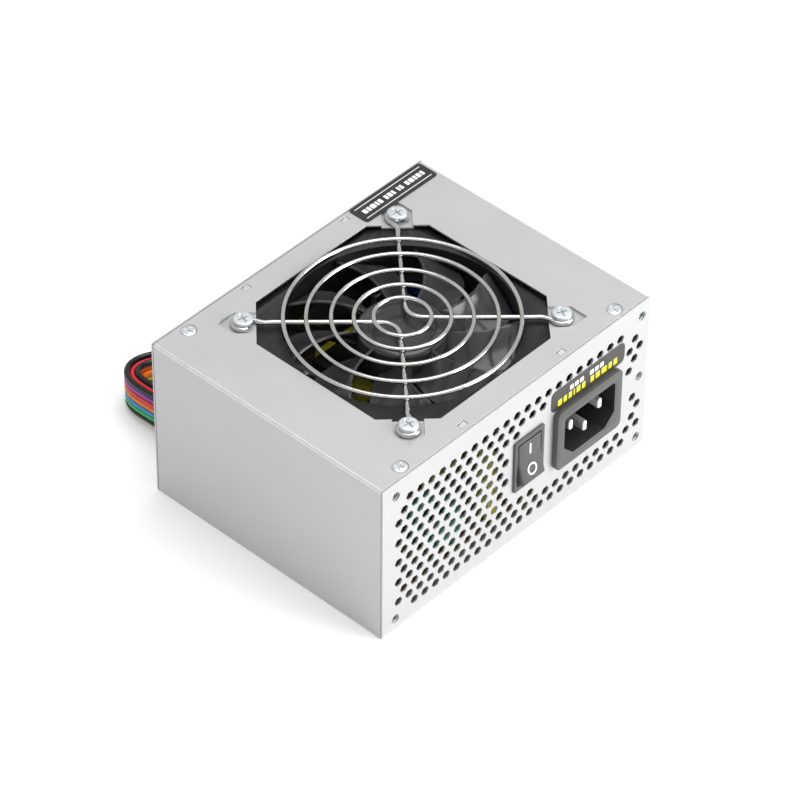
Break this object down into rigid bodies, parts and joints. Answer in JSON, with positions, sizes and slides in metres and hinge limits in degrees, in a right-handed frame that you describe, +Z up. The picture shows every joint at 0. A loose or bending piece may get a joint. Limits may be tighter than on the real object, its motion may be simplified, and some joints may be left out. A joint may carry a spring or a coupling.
{
  "type": "power supply unit",
  "caption": "Boxy sheet-metal power supply with a top fan under a wire grille, a mains inlet and rocker switch beside a honeycomb vent, and a tied output lead with its connector.",
  "frame": {"origin": "middle of the bottom face of the case", "axes": "+X along the width towards the inlet side, +Y towards the wall that the output lead leaves, +Z up towards the fan"},
  "size_m": [0.163, 0.1431, 0.0657],
  "materials": {
    "zinc_plated_steel": "satin zinc plate",
    "screw_steel": "bright zinc plate",
    "bright_plated_wire": "bright nickel plate",
    "black_plastic": "moulded satin",
    "smoke_plastic": "moulded gloss",
    "dark_grey_plastic": "moulded satin",
    "printed_label": "printed film",
    "enamelled_copper": "enamelled",
    "plated_contact": "nickel plate",
    "paper_laminate": "pressed sheet",
    "green_laminate": "lacquered",
    "ferrite": "sintered",
    "yellow_tape": "wound film tape",
    "mill_aluminium": "mill",
    "blue_sleeve": "shrink sleeve",
    "green_coating": "dipped",
    "insulation_film": "clear film",
    "black_rubber": "matt",
    "natural_nylon": "moulded",
    "wire_insulation": "extruded"
  },
  "bodies": {
    "case": {"base_shell": "zinc_plated_steel", "top_cover": "zinc_plated_steel", "cover_screw_1": "screw_steel", "cover_screw_2": "screw_steel", "cover_screw_3": "screw_steel", "cover_screw_4": "screw_steel", "inlet_label": "printed_label", "seal_sticker": "printed_label", "fan_frame": "black_plastic", "fan_bearing": "enamelled_copper", "fan_stator": "enamelled_copper", "fan_screw_1": "screw_steel", "fan_screw_2": "screw_steel", "fan_screw_3": "screw_steel", "fan_screw_4": "screw_steel", "fan_grille": "bright_plated_wire", "inlet_housing": "dark_grey_plastic", "inlet_pin_live": "plated_contact", "inlet_pin_neutral": "plated_contact", "inlet_pin_earth": "plated_contact", "switch_body": "dark_grey_plastic", "main_board": "paper_laminate", "board_screw_1": "screw_steel", "board_screw_2": "screw_steel", "board_screw_3": "screw_steel", "board_screw_4": "screw_steel", "insulation_sheet": "insulation_film", "main_transformer_core": "ferrite", "main_transformer_winding": "yellow_tape", "bulk_capacitor_1": "blue_sleeve", "bulk_capacitor_2": "blue_sleeve", "primary_heatsink": "mill_aluminium", "secondary_heatsink": "mill_aluminium", "power_transistor": "black_plastic", "output_rectifier": "black_plastic", "output_choke": "enamelled_copper", "output_capacitor_1": "black_plastic", "output_capacitor_2": "black_plastic", "standby_transformer": "yellow_tape", "line_filter_choke": "green_coating", "filter_capacitor": "yellow_tape", "suppression_capacitor": "blue_sleeve", "bridge_rectifier": "black_plastic", "fuse": "natural_nylon", "control_board": "green_laminate", "live_lead": "wire_insulation", "neutral_lead": "wire_insulation", "earth_lead": "wire_insulation", "fan_lead": "wire_insulation", "cable_grommet": "black_rubber", "lead_band": "wire_insulation", "lead_hank": "wire_insulation", "cable_tie": "black_plastic", "lead_fan_out": "wire_insulation", "main_connector": "natural_nylon"},
    "fan": {"fan_rotor": "smoke_plastic", "rotor_magnet": "ferrite", "fan_shaft": "plated_contact"},
    "rocker": {"switch_rocker": "dark_grey_plastic"},
    "latch": {"connector_latch": "natural_nylon"}
  },
  "joints": [
    {"name": "fan_spin", "type": "hinge", "parent": "case", "child": "fan", "pos_m": [0, 0, 0.055], "axis": [0, 0, 1], "continuous": true},
    {"name": "switch_rock", "type": "hinge", "parent": "case", "child": "rocker", "pos_m": [0.0047, -0.0485, 0.0325], "axis": [1, 0, 0], "range_deg": [0, 17]},
    {"name": "latch_press", "type": "hinge", "parent": "case", "child": "latch", "pos_m": [0.0903, 0.0634, 0.0118], "axis": [0, 1, 0], "range_deg": [-8, 0], "stiffness_Nm_per_rad": 0.02}
  ]
}
